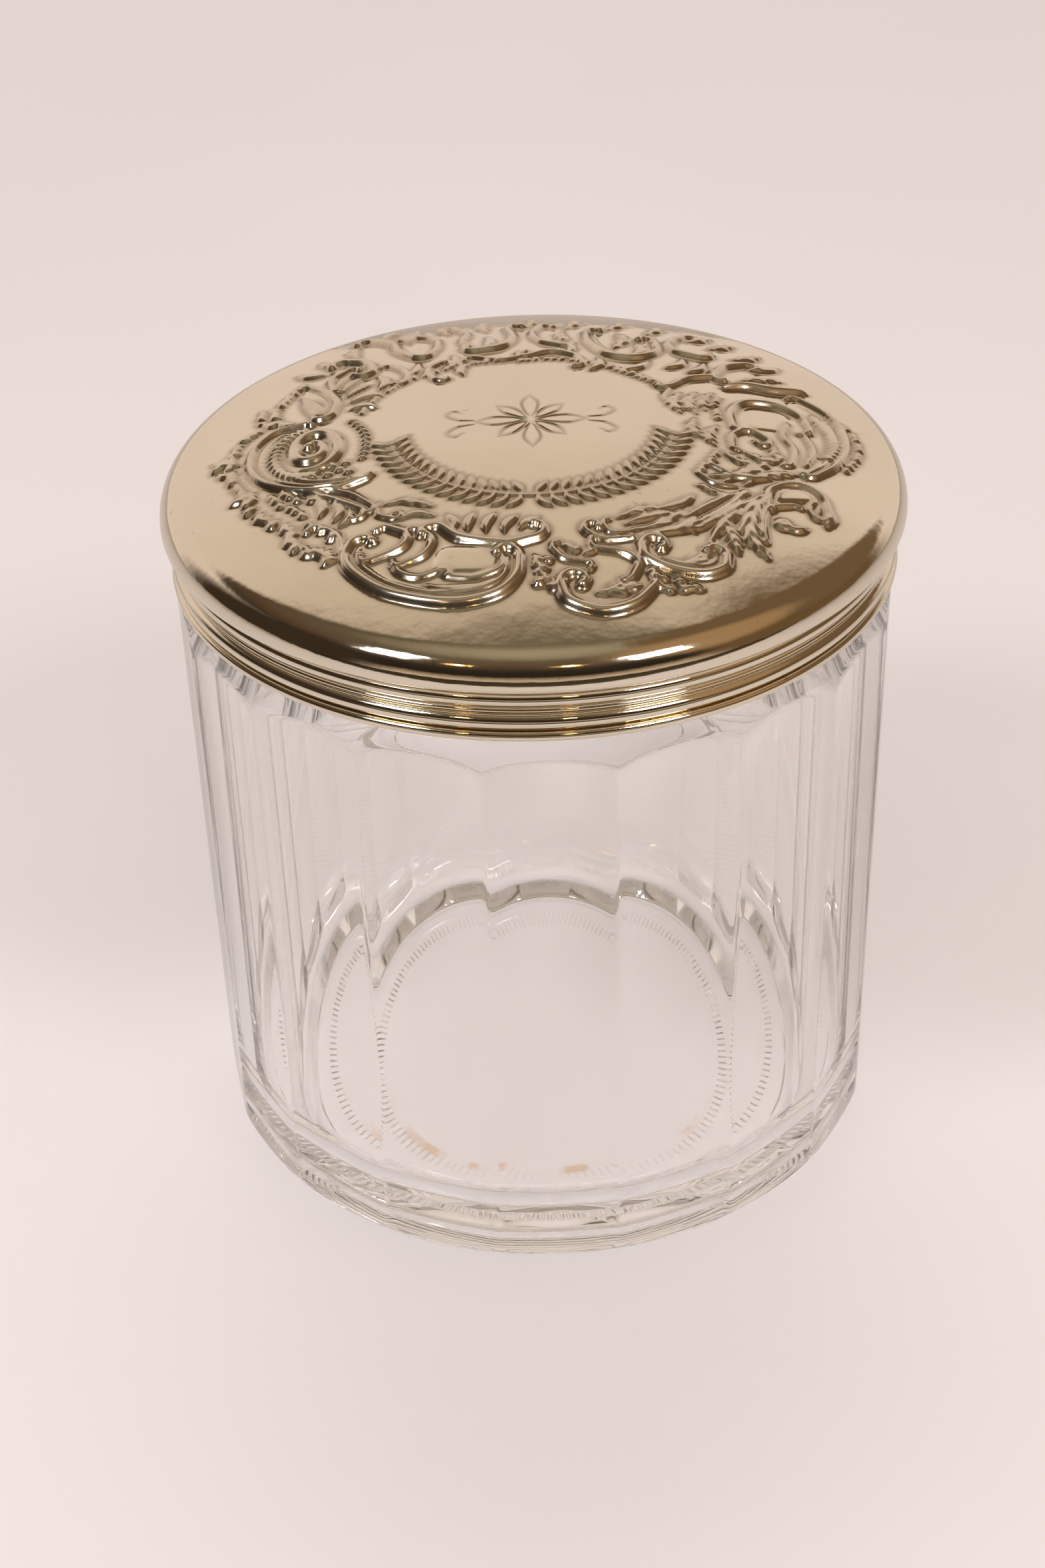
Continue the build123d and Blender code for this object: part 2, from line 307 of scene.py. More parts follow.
def felt_material():
    """Damp wool felt, pale and fibrous."""
    material, tree, shader = nodes_of("wool_felt")
    fibre = noise(tree, 900, 6, 0.75, (1, 3, 1))
    base = ramp(tree, fibre, (0.3, (0.52, 0.47, 0.39)), (0.7, (0.74, 0.69, 0.60)))
    feed(tree, shader, {"Base Color": base, "Roughness": 0.95})
    bump(tree, shader, fibre, 0.5, 0.0005)
    return material


def glass_material():
    """Clear pressed glass: slightly uneven, with a ring of teeth and amber stains under the foot."""
    material, tree, shader = nodes_of("clear_pressed_glass")
    x, y, z = axes(tree, object_place(tree))
    radius = math_node(tree, "SQRT", math_node(tree, "ADD", product(tree, x, x), product(tree, y, y)))

    def band(middle, half_width):
        """1 at a radius of the underside, falling to 0 at half_width from it."""
        off = math_node(tree, "ABSOLUTE", math_node(tree, "SUBTRACT", radius, middle * MM))
        return product(tree, map_range(tree, off, 0.5 * half_width * MM, half_width * MM, 1.0, 0.0),
                       map_range(tree, z, 2 * FOOT_HOLLOW * MM, 2.2 * FOOT_HOLLOW * MM, 1.0, 0.0))

    tint = ramp(tree, noise(tree, 20, 2), (0.3, (0.988, 0.98, 0.968)), (0.8, (0.998, 0.994, 0.986)))
    specks = map_range(tree, noise(tree, 90, 3), 0.52, 0.60, 0.0, 0.8)
    front = map_range(tree, y, -0.8 * STAIN_RADIUS * MM, -0.5 * STAIN_RADIUS * MM, 1.0, 0.0)
    stains = product(tree, band(STAIN_RADIUS, STAIN_HALF_WIDTH), specks, front)
    feed(tree, shader, {"Base Color": mix_colour(tree, stains, tint, (0.72, 0.42, 0.14)), "IOR": 1.51,
                        "Transmission Weight": 1.0,
                        "Roughness": map_range(tree, noise(tree, 120, 3), 0.4, 0.8, 0.0, 0.03)})
    teeth = math_node(tree, "SINE", product(tree, math_node(tree, "ARCTAN2", y, x), FOOT_TEETH))
    knurl = product(tree, band(TEETH_RADIUS, TEETH_HALF_WIDTH), TEETH_WEAR, teeth)
    ripple = product(tree, noise(tree, 30, 2),
                     map_range(tree, radius, 0.6 * TEETH_RADIUS * MM, TEETH_RADIUS * MM, 1.2, 0.0))
    bump(tree, shader, math_node(tree, "ADD", knurl, ripple), 0.4, 0.0003)
    # light passes straight through to the table, as caustics would be noisy
    clear = node(tree, "ShaderNodeBsdfTransparent", {"Color": (0.955, 0.95, 0.95)})
    rays = tree.nodes.new("ShaderNodeLightPath")
    mix_shaders(tree, rays.outputs["Is Shadow Ray"], shader.outputs["BSDF"], clear.outputs["BSDF"])
    return material


# ---- glass jar


def jar_outer_radius(z, azimuth):
    """Radius of the outer face: the least of the panels' planes and the turned body, softly joined."""
    step = 2 * pi / PANELS
    apothem = (RIDGE_RADIUS + z * DRAFT) * cos(step / 2)
    offset = np.abs((azimuth + pi / 2 + step / 2) % step - step / 2)
    turn = np.clip((z - SHOULDER_Z) / SHOULDER_RADIUS, 0, 1)
    start = RIDGE_RADIUS + SHOULDER_Z * DRAFT + SHOULDER_SWELL
    shoulder = start - SHOULDER_RADIUS * (1 - np.sqrt(1 - turn**2))
    heel_turn = np.clip((HEEL_RADIUS - z) / HEEL_RADIUS, 0, 1)
    heel = RIDGE_RADIUS - HEEL_RADIUS * (1 - np.sqrt(1 - heel_turn**2))
    heel = heel + np.maximum(z - HEEL_RADIUS, 0) * HEEL_LEAN
    shoulder = np.maximum(shoulder, NECK_RADIUS)
    faces = (apothem / np.cos(offset), apothem / np.cos(step - offset), shoulder, heel)
    stack = np.stack([face + 0 * azimuth for face in faces])
    least = stack.min(0)
    return least - CORNER_SOFTNESS * np.log(np.exp(-(stack - least) / CORNER_SOFTNESS).sum(0))


def jar_levels():
    """Heights of the rings on the outside, close together where the form turns."""
    heel = HEEL_RADIUS * (1 - np.cos(np.linspace(0, pi / 2, 12)))
    spans = ((HEEL_RADIUS, BAND_Z, 12), (BAND_Z, SHOULDER_Z, 40), (SHOULDER_Z, RIM_Z, 44),
             (RIM_Z, LIP_Z - LIP_ROUND, 5))
    return np.concatenate([heel] + [np.linspace(*span)[1:] for span in spans])


def panel_azimuths():
    """Azimuths of the columns, close together at the corners between panels."""
    step = 2 * pi / PANELS
    across = np.array([0, 0.012, 0.03, 0.06, 0.1, 0.16, 0.25, 0.375,
                       0.5, 0.625, 0.75, 0.84, 0.9, 0.94, 0.97, 0.988])
    return np.concatenate([(-pi / 2 - step / 2) + step * (k + across) for k in range(PANELS)])


def bore_at(z):
    return BORE_RADIUS - (LIP_Z - z) * BORE_DRAFT


def make_glass():
    """One closed mesh: outside, lip, cavity, and the hollow under the foot."""
    azimuth = panel_azimuths()
    count = len(azimuth)
    foot_outer = RIDGE_RADIUS - HEEL_RADIUS
    ring_inner = foot_outer - FOOT_RING_WIDTH
    hollow = ring_inner - FOOT_HOLLOW
    inset, rise = RING_CHAMFER
    under = [(foot_outer - FOOT_EDGE, 0.0), (ring_inner, 0.0), (ring_inner - inset, rise),
             (hollow, FOOT_HOLLOW - rise), (hollow - HOLLOW_CHAMFER, FOOT_HOLLOW)]
    under += [(radius, FOOT_HOLLOW) for radius in np.linspace(ring_inner - 4, FLAT_CENTRE, 10)]
    outside = [(jar_outer_radius(np.array(z), azimuth), z) for z in jar_levels()]
    lip = LIP_Z - LIP_ROUND
    low = FLOOR_Z + FLOOR_RADIUS
    floor_edge = bore_at(low) - FLOOR_RADIUS
    inside = arc((NECK_RADIUS - LIP_ROUND, lip), LIP_ROUND, 0, 90, 6)[1:]
    inside += arc((bore_at(LIP_Z) + LIP_ROUND, lip), LIP_ROUND, 90, 180, 6)
    inside += [(bore_at(z), z) for z in np.linspace(lip, low, 40)[1:]]
    inside += arc((floor_edge, low), FLOOR_RADIUS, 0, -90, 24)[1:]
    inside += [(radius, FLOOR_Z) for radius in np.linspace(floor_edge, FLAT_CENTRE, 16)[1:]]
    rings = under[::-1] + outside + inside
    points = np.concatenate([on_circle(radius, azimuth, z) for radius, z in rings])
    return new_object("pressed_glass_jar", points, closed_faces(len(rings), count))


# ---- lid: skirt and rim wire


def bead_middles():
    z = WIRE_TOP_Z + BEAD_GAP
    for height, stand in BEADS:
        yield z + height / 2, height, stand
        z += height + BEAD_GAP


def skirt_section():
    """Closed section of the skirt, with its beads rolled hollow."""
    outer = [(SKIRT_RADIUS, WIRE_TOP_Z)]
    inner = [(SKIRT_BORE, WIRE_TOP_Z)]
    for middle, height, stand in bead_middles():
        for t in np.linspace(-pi / 2, pi / 2, 17):
            outer.append((SKIRT_RADIUS + stand * cos(t), middle + height / 2 * sin(t)))
        if height > 2 * SHEET:
            hollow = height / 2 - SHEET
            for t in np.linspace(-pi / 2, pi / 2, 9):
                inner.append((SKIRT_BORE + stand * cos(t), middle + hollow * sin(t)))
    return outer + [(SKIRT_RADIUS, LEDGE_Z), (SKIRT_BORE, LEDGE_Z)] + inner[::-1]


def wire_section():
    """Closed section of the rim wire, round on its outside."""
    nose = WIRE_NOSE * (WIRE_TOP_Z - RIM_Z)
    middle = WIRE_RADIUS - nose
    return ([(SKIRT_BORE, RIM_Z)] + arc((middle, RIM_Z + nose), nose, -90, 0, 7)
            + arc((middle, WIRE_TOP_Z - nose), nose, 0, 90, 7) + [(SKIRT_BORE, WIRE_TOP_Z)])


# ---- lid: dome


def crown_circle():
    """Radius of the crown's arc and height of its centre, on the axis."""
    rise = CROWN_Z - BULGE_Z
    reach = LID_RADIUS - BULGE_RADIUS
    radius = (reach**2 + rise**2 - BULGE_RADIUS**2) / (2 * (rise - BULGE_RADIUS))
    return radius, CROWN_Z - radius


def round_about(centre_radius, radius, turns):
    """Points of an arc at the level of the bulge, as (radius, z, turn)."""
    return [(centre_radius + radius * cos(turn), BULGE_Z + radius * sin(turn), turn) for turn in turns]


def dome_section():
    """Outer section of the dome from the axis outwards, as (radius, z, normal angle)."""
    big, centre_z = crown_circle()
    meet = atan2(BULGE_Z - centre_z, LID_RADIUS - BULGE_RADIUS)
    # the rings lie closer together where the ornament starts
    radii = np.concatenate([np.arange(FLAT_CENTRE, 20, 0.5), np.arange(20, big * cos(meet), 0.36)])
    points = [(radius, centre_z + big * sin(turn), turn)
              for radius, turn in zip(radii, np.arccos(radii / big))]
    points += round_about(LID_RADIUS - BULGE_RADIUS, BULGE_RADIUS, np.linspace(meet, 0, 22)[1:])
    return points + round_about(LID_RADIUS - UNDER_RADIUS, UNDER_RADIUS, np.linspace(0, -pi / 2, 8)[1:])


def dome_inside():
    """Inner section of the dome, from the ledge back to the axis."""
    big, centre_z = crown_circle()
    ledge_outer = LID_RADIUS - UNDER_RADIUS
    ledge_inner = ledge_outer - LEDGE_WIDTH
    points = [(ledge_inner, LEDGE_Z), (ledge_inner, LEDGE_Z + SHEET), (ledge_outer, LEDGE_Z + SHEET)]
    bulge = round_about(LID_RADIUS - BULGE_RADIUS, BULGE_RADIUS - SHEET, np.linspace(0, radians(60), 5))
    points += [(radius, z) for radius, z, _ in bulge]
    return points + [(radius, centre_z + sqrt((big - SHEET) ** 2 - radius**2))
                     for radius in (60, 50, 40, 30, 20, 10, 0.4)]


def make_dome(count=1080):
    """The struck dome: its plain section, raised by the ornament along its own normal."""
    azimuth = np.arange(count) * 2 * pi / count
    r, z, turn = np.array(dome_section()).T[:, :, None]
    height, recess, ornament_tarnish_and_shade = ornament(r * np.cos(azimuth), r * np.sin(azimuth))
    shell = on_circle(r + height * np.cos(turn), azimuth, z + height * np.sin(turn))
    inside = [on_circle(radius, azimuth, level) for radius, level in dome_inside()]
    points = np.concatenate([shell.reshape(-1, 3)] + inside)
    faces = [face[::-1] for face in closed_faces(len(shell) + len(inside), count)]
    dome = new_object("struck_dome", points, faces)
    for name, shade in (("recess", recess), ("ornament_tarnish_and_shade", ornament_tarnish_and_shade)):
        layer = dome.data.attributes.new(name, "FLOAT", "POINT")
        values = np.zeros(len(points), np.float32)
        values[:shade.size] = shade.ravel()
        layer.data.foreach_set("value", values)
    return dome


# ---- ornament


def step_along(angle, length=1.0):
    """A step of the plan, its angle in radians from +x."""
    return length * np.array([cos(angle), sin(angle)])


def smooth_path(points, per_span=8):
    """Points along a Catmull-Rom curve through the given ones."""
    p = np.asarray(points, float)
    p = np.vstack([2 * p[0] - p[1], p, 2 * p[-1] - p[-2]])
    t = np.linspace(0, 1, per_span, endpoint=False)[:, None]
    spans = []
    for a, b, c, d in zip(p[:-3], p[1:-2], p[2:-1], p[3:]):
        spans.append(0.5 * (2 * b + (c - a) * t + (2 * a - 5 * b + 4 * c - d) * t**2
                            + (3 * b - a - 3 * c + d) * t**3))
    return np.vstack(spans + [p[-2][None]])


def spiral_end(path, turn, radius):
    """The path carried on past its end in a closing spiral; turn in degrees, left positive."""
    heading = atan2(*(path[-1] - path[-2])[::-1])
    count = max(6, int(abs(turn) / 14))
    point = path[-1]
    added = []
    for k in range(count):
        heading += radians(turn) / count
        stride = radius * (1 - 0.6 * k / count) * abs(radians(turn)) / count
        point = point + step_along(heading, stride)
        added.append(point)
    return np.vstack([path, added])


def stations(points, pitch, first):
    """Places at an even pitch along a curve, and the way it heads at each."""
    path = smooth_path(points)
    run = np.concatenate([[0], np.cumsum(np.hypot(*np.diff(path, axis=0).T))])
    for at in np.arange(first, run[-1], pitch):
        here, ahead = (np.array([np.interp(place, run, path[:, 0]), np.interp(place, run, path[:, 1])])
                       for place in (at, at + 0.3))
        yield here, atan2(*(ahead - here)[::-1])


def dome_form(distance, width):
    """Height of a rounded form, 1 along its middle and 0 at its width."""
    return np.clip(1 - (distance / width) ** 2, 0, 1) ** 0.8


class Relief:
    """Heights over plan points in mm, and how near the ornament each point lies.

    Widths are half widths.  Curls are in degrees, left positive.  Rows of points go from root to tip.
    """

    def __init__(self, x, y):
        self.x = x.ravel()
        self.y = y.ravel()
        self.height, self.near, self.engraved = np.zeros((3, self.x.size))

    def along(self, path, reach):
        """Points within reach of a path: which, their distance, place 0-1 and signed distance."""
        low = path.min(0) - reach
        high = path.max(0) + reach
        pick = np.where((self.x > low[0]) & (self.x < high[0]) & (self.y > low[1]) & (self.y < high[1]))[0]
        px, py = self.x[pick], self.y[pick]
        best = np.full(pick.size, 1e9)
        place, side = np.zeros((2, pick.size))
        step = np.diff(path, axis=0)
        length = np.hypot(step[:, 0], step[:, 1])
        run = np.concatenate([[0], np.cumsum(length)])
        for (ax, ay), (sx, sy), long, start in zip(path[:-1], step, length, run):
            t = np.clip(((px - ax) * sx + (py - ay) * sy) / long**2, 0, 1)
            dx = px - ax - t * sx
            dy = py - ay - t * sy
            d = np.hypot(dx, dy)
            closer = d < best
            best = np.where(closer, d, best)
            place = np.where(closer, (start + t * long) / run[-1], place)
            side = np.where(closer, np.sign(sx * dy - sy * dx), side)
        inside = best < reach
        return pick[inside], best[inside], place[inside], (best * side)[inside]

    def raise_to(self, pick, height):
        """Joins a new form to the relief with a small fillet."""
        old = self.height[pick]
        blend = np.clip(0.5 + 0.5 * (height - old) / FILLET, 0, 1)
        joined = old * (1 - blend) + height * blend + FILLET * blend * (1 - blend)
        self.height[pick] = np.where(height > 0.02, joined, old)

    def shade(self, pick, distance, width):
        # nearness to a form, which later darkens the colour as painted shade and tarnish
        gap = np.maximum(distance - width, 0)
        self.near[pick] = np.maximum(self.near[pick], np.exp(-(gap / SHADE_AND_TARNISH_REACH) ** 2))

    def scroll(self, points, width, height, start=0, end=0, twin=0.0):
        """A rounded ridge, curled in by start and end degrees; a thin line may run beside it at twin."""
        path = smooth_path(points)
        curl = 2.1 * width
        if end:
            path = spiral_end(path, end, curl)
        if start:
            path = spiral_end(path[::-1], start, curl)[::-1]
        pick, distance, place, signed = self.along(path, width + 2.6 + abs(twin))
        swell = 0.55 + 0.45 * np.sin(pi * np.clip(place, 0, 1)) ** 0.7
        w = width * swell
        self.raise_to(pick, height * (0.6 + 0.4 * swell) * dome_form(distance, w))
        if twin:
            ends = np.clip(np.minimum(place, 1 - place) * 7, 0, 1)
            self.raise_to(pick, 0.6 * height * ends * dome_form(signed - twin, 0.40 * width))
        self.shade(pick, distance, w)
        for curled, eye in ((start, path[0]), (end, path[-1])):
            if curled:
                self.boss(eye, EYE_SHARE * width, height)

    def leaf(self, points, width, height, lobes=0, vein=0.35):
        """A leaf, fullest past the middle, with a sunk vein and lobed edges."""
        pick, distance, place, _ = self.along(smooth_path(points), width * 1.4 + 2.2)
        full = np.sin(pi * np.clip(place, 0.03, 0.985) ** 1.15) ** 0.7
        wave = np.cos(2 * pi * lobes * (place - 0.22 * distance / width)) if lobes else 0
        w = np.maximum(width * full * (1 + 0.26 * wave), 0.15 * width)
        groove = 1 - vein * np.exp(-(distance / (0.17 * width)) ** 2)
        if lobes:
            groove = groove * (0.84 + 0.16 * wave)
        self.raise_to(pick, height * dome_form(distance, w) * groove)
        self.shade(pick, distance, w)

    def leaves(self, rows, *how):
        for row in rows:
            self.leaf(row, *how)

    def line(self, points, width):
        """An engraved line, fullest in its middle."""
        pick, distance, place, _ = self.along(smooth_path(points), width)
        w = width * (0.35 + 0.65 * np.sin(pi * np.clip(place, 0, 1)))
        cut = np.clip(1 - (distance / w) ** 2, 0, 1)
        self.engraved[pick] = np.maximum(self.engraved[pick], cut)

    def boss(self, centre, radius, height, dent=0.0):
        """A small round boss, dented in its middle if asked."""
        dx = self.x - centre[0]
        dy = self.y - centre[1]
        pick = np.where((abs(dx) < radius + 2.2) & (abs(dy) < radius + 2.2))[0]
        distance = np.hypot(dx[pick], dy[pick])
        dented = 1 - dent * np.exp(-(distance / (0.45 * radius)) ** 2)
        self.raise_to(pick, height * dome_form(distance, radius) * dented)
        self.shade(pick, distance, radius)

    def bosses(self, centres, *how):
        for centre in centres:
            self.boss(centre, *how)

    def pillow(self, centre, half, turn, height):
        """A plain swelling panel with soft square-cut sides."""
        c = cos(radians(turn))
        n = sin(radians(turn))
        u = ((self.x - centre[0]) * c + (self.y - centre[1]) * n) / half[0]
        v = (-(self.x - centre[0]) * n + (self.y - centre[1]) * c) / half[1]
        pick = np.where((abs(u) < 1.2) & (abs(v) < 1.2))[0]
        form = np.clip(1 - (u[pick] ** 4 + v[pick] ** 4), 0, 1) ** 0.5
        self.raise_to(pick, height * form)

    def fan(self, centre, inner, outer, first, last, count, width, height):
        """Ribs spread between two ellipses round a centre, angles in degrees from +x."""
        for angle in np.radians(np.linspace(first, last, count)):
            root = np.array(centre) + step_along(angle) * inner
            tip = np.array(centre) + step_along(angle + 0.22) * outer
            self.leaf((root, (root + tip) / 2, tip), width, height, 0, 0.0)

    def beads(self, points, radius, height, pitch):
        """Bosses evenly along a curve."""
        for here, _ in stations(points, pitch, 0):
            self.boss(here, radius, height)

    def crest(self, points, size, height, pitch, lean, side=1):
        """Leaf tufts along a curve, standing out on one side of it and leaning along it."""
        for k, (root, way) in enumerate(stations(points, pitch, 0.5 * pitch)):
            heading = way + side * radians(90 - lean + 14 * (k % 3 - 1))
            long = size * (1.0, 0.72, 0.86)[k % 3]
            middle = root + step_along(heading, 0.55 * long)
            tip = middle + step_along(heading - side * 0.7, 0.5 * long)
            self.leaf((root, middle, tip), 0.36 * size, height, 0, 0.2)


def softened(field, passes):
    """A field over the polar grid, blurred a little, as striking softens the sheet."""
    for _ in range(passes):
        field = 0.5 * field + 0.25 * (np.roll(field, 1, 1) + np.roll(field, -1, 1))
        field[1:-1] = 0.5 * field[1:-1] + 0.25 * (field[2:] + field[:-2])
    return field


def ornament(x, y):
    """Over plan points: the ornament's height, the painted shade and tarnish in recesses and engraved lines,
    and the wider painted shade and tarnish round the ornament.
    """
    front = Relief(x, y)
    for draw in (front_left_scroll, front_right_scrolls, right_plume, left_shell, right_scroll, garland,
                 rosette):
        draw(front)
    # across the back the border is wider, so its scrolls are drawn over a shrunk plan
    radius = np.hypot(x, y)
    shrink = (BORDER_INNER + (radius - BORDER_INNER) / BACK_SPREAD) / radius
    back = Relief(x * shrink, y * shrink)
    back_scrolls(back)
    height = RELIEF_SHARE * np.maximum(front.height, back.height).reshape(x.shape)
    near = np.maximum(front.near, back.near).reshape(x.shape)
    engraved = front.engraved.reshape(x.shape)
    # recess darkens the ground beside forms and the engraved lines, and the blurred nearness darkens the
    # whole ornament: both partly tarnish and partly painted shade
    recess = np.maximum(near * np.clip(1 - height / RECESS_HEIGHT, 0, 1), engraved)
    height = softened(height - ENGRAVED_DEPTH * engraved, 1)
    return height, softened(recess, 1), softened(near, 6)


# The rococo border, in mm on the lid's plan, with the front at -y.  Where two forms meet, the fillet
# depends on which came first, so their order stays as it is.

def front_left_scroll(r):
    """The large C-scroll round a plain cartouche, and what grows from it."""
    r.pillow((-12.9, -44.2), (5.6, 4), -8, 0.7)
    r.scroll(((-33.4, -36.2), (-34.2, -39.5), (-32.2, -44.3), (-26.4, -50.2), (-16.4, -54.2), (-8.4, -53.2),
        (-4.4, -49), (-3.6, -44)), 1.35, 1.6, -150, 160, 2.1)
    r.scroll(((-25.9, -41.6), (-24.6, -45.2), (-21.2, -47.1), (-17.6, -46)), 0.8, 1, 0, -120)
    r.scroll(((-8.9, -41.8), (-6.6, -43.8), (-7.2, -46.8), (-11.6, -48.6), (-16.6, -47.6)), 0.7, 0.9)
    r.leaf(((-20.4, -49.2), (-16.6, -50.8), (-11, -51.2), (-7.4, -49)), 1.3, 1.1)
    r.scroll(((-26.4, -32.8), (-23.2, -35.6), (-24.2, -38.9), (-29.4, -41.2)), 0.95, 1.3, 100, -130)
    r.scroll(((-21, -34.4), (-18.7, -37.6), (-20.3, -41.6), (-24.2, -43.3)), 0.85, 1.2, 130, -60)
    r.scroll(((-16.9, -34.6), (-13.4, -38.2), (-6, -40.4), (-0.6, -39.2)), 1.3, 1.5, 140, 170)
    r.leaves((((-14.9, -35.6), (-14.85, -33.2), (-16, -30.8)), ((-12.4, -36.2), (-12.3, -33.6), (-11.2, -31)),
        ((-9.2, -36.8), (-9.1, -34.2), (-7.4, -31.6)), ((-6, -37.2), (-5.7, -34.9), (-3.6, -32.6)),
        ((-3.2, -36.6), (-2.4, -35), (0.2, -33.4))), 1.15, 0.9)
    r.scroll(((-42.4, -16.8), (-36.4, -21.6), (-31.2, -26.2)), 0.9, 1.2, 0, -210)
    r.scroll(((-39.6, -17.4), (-33.6, -20.4), (-29.2, -25.4)), 0.7, 1, 0, -120)
    r.leaf(((-40.2, -19.6), (-38.2, -23.2), (-38.8, -26.4)), 1.1, 1)
    r.leaf(((-36.4, -22.4), (-35, -25.4), (-36.2, -28.4)), 1, 1)
    r.leaf(((-33.4, -25.2), (-33.4, -28.2), (-35.4, -30.4)), 0.9, 0.9)
    r.scroll(((-28.2, -24.8), (-28.4, -28.2), (-25.8, -30.2)), 0.6, 0.9, 0, 300)
    r.leaf(((-27.4, -25.6), (-23.2, -25.4), (-18.4, -28)), 1, 0.8, 3)
    r.leaf(((-24.4, -30.8), (-21.6, -29.4), (-18.2, -30.8)), 0.9, 0.8)
    r.leaf(((-27, -32), (-24, -33.6), (-22.4, -36.4)), 0.7, 0.8)
    r.scroll(((-38.6, -29.6), (-35.6, -32.8), (-34.8, -37.6)), 0.9, 1.2, 120)
    r.bosses(((-40.8, -28.2), (-38.4, -30.6), (-41.4, -34.8), (-36.6, -33.2)), 1, 1.2)
    r.crest(((-51.2, -13.2), (-50.6, -18.6), (-47.4, -23.2), (-43.4, -27.4), (-42, -31.4)),
        3.4, 1, 2.3, 20, -1)
    r.crest(((-43.4, -29.8), (-41, -34), (-36.8, -36.2), (-35.2, -40.4)), 3.2, 1, 1.5, 10, -1)
    r.crest(((-48.6, -14.6), (-45.4, -19.6), (-41, -24.4)), 2.6, 0.8, 2, 60, -1)


def front_right_scrolls(r):
    """Two C-scrolls, a small one over them, and the feathered leaves that rise to the right."""
    r.scroll(((3.2, -51.6), (4.6, -55.6), (10.2, -57.9), (15.6, -56.2), (19.4, -51.8)), 1.35, 1.6, -250, 60)
    r.leaf(((9.4, -53.6), (13.4, -52.6), (17.6, -51.6)), 1.5, 1, 3)
    r.scroll(((10, -42.4), (14.4, -43.4), (17, -46), (15.8, -49.6)), 0.9, 1.2, -120, -90)
    r.scroll(((17.8, -41.6), (18.4, -44.6), (22.4, -47.4), (28, -48.2), (31.8, -46.2), (32.6, -43.4)),
        1.25, 1.5, -250, 170, 1.9)
    r.leaf(((21.6, -44.6), (25.4, -45.6), (29.6, -43), (31.6, -38.8)), 1.3, 1, 3)
    r.scroll(((8.4, -38), (11, -40), (15.4, -39.6)), 0.9, 1.2, -250, 40)
    r.scroll(((11.4, -35.6), (12.6, -38), (16.4, -37.6)), 0.6, 0.9, -120)
    for k, row in enumerate((((15.2, -35.6), (19.6, -33.4), (24.4, -31.8)), ((15.6, -37.4), (21.4, -35.4),
            (27.6, -30)), ((17.2, -38.6), (24.2, -36.6), (28.4, -32.2)), ((13.8, -33.8), (18.4, -31.4),
            (22.6, -30.4)), ((20.2, -31.6), (25.4, -29.2), (28.2, -26)), ((23.4, -37.8), (28, -35.4),
            (31, -30.8)))):
        r.leaf(row, 1.15, 0.9, (0, 3)[k % 2])
    r.leaves((((25.4, -36.4), (31.6, -31.4), (38.4, -23.8)), ((27.4, -37.2), (33.6, -31), (40.2, -24.8)),
        ((24.6, -34.6), (30.4, -29.2), (36.2, -24.2)), ((29.6, -40.6), (32.2, -35), (36.4, -29.6))),
        0.95, 1.1, 0, 0.2)
    r.leaf(((33.4, -29.6), (32.9, -33.6), (34.1, -37.6), (34.7, -42)), 1.6, 1.2, 6)
    r.bosses(((19.2, -48.2), (21, -50), (23.8, -50.4), (0.4, -47.4), (-0.6, -50.8), (1.2, -45.2)), 1.15, 1.1)
    r.crest(((-1.2, -43), (-1.6, -46.6), (-0.4, -50), (1.8, -53.4)), 2.4, 0.9, 1.4, 30)
    r.crest(((18.2, -50.4), (22.6, -51.4), (26.6, -50.6)), 2.2, 0.9, 1.5, 30, -1)
    r.crest(((3.4, -40.6), (4.8, -43.2), (8.6, -44.4)), 2.4, 0.8, 1.7, 20)
    r.scroll(((2.2, -42.2), (4, -44.8), (8, -45.8)), 0.7, 1, -140, -140)


def right_plume(r):
    """The hanging plume, the C round its plain panel, and the leaves beyond."""
    r.leaf(((44.2, -21.4), (39.8, -26.4), (37.6, -32.4), (37.6, -37.6), (39.9, -42.4)), 2.1, 1.4, 6)
    r.scroll(((40, -38.2), (39.9, -33.2), (41.4, -28.2), (46, -26.2)), 0.75, 1.1, 0, -70)
    r.pillow((46.8, -22.9), (4.2, 2.2), 10, 0.6)
    r.scroll(((41.2, -26.6), (42.4, -22), (47.4, -19.6), (51.6, -22.2), (52.6, -27.4)),
        1.05, 1.3, 60, -60, -1.7)
    r.leaf(((51.4, -24.6), (52.6, -27.8), (51.4, -31.4)), 1.2, 1.1)
    r.boss((43.6, -32.3), 1.9, 1.3, 0.4)
    r.leaf(((43.4, -32.4), (45.4, -33.4), (48, -32.6)), 1, 1.1)
    r.scroll(((50.6, -23.8), (48.8, -26), (49.4, -28.8)), 0.6, 0.9, 0, 120)
    r.crest(((38.4, -22.2), (34.6, -27), (33.4, -30.6)), 2.8, 0.9, 1.8, 60)
    r.leaves((((37.4, -21.6), (42.4, -17.4), (48, -15.6)), ((33.6, -21.2), (38.8, -17.4), (43.4, -12.4)),
        ((31, -19.6), (36.6, -18.2), (40.6, -13.6))), 1.2, 1, 4)
    r.scroll(((32.4, -16), (36.4, -19), (41.2, -18.6)), 0.7, 1, -130, 100)
    r.scroll(((29.8, -19.4), (32.4, -22), (36, -22.2)), 0.6, 0.9, -140)
    r.crest(((28.4, -22.4), (31, -25.2), (33, -26)), 2.2, 0.7, 1.5, 30)


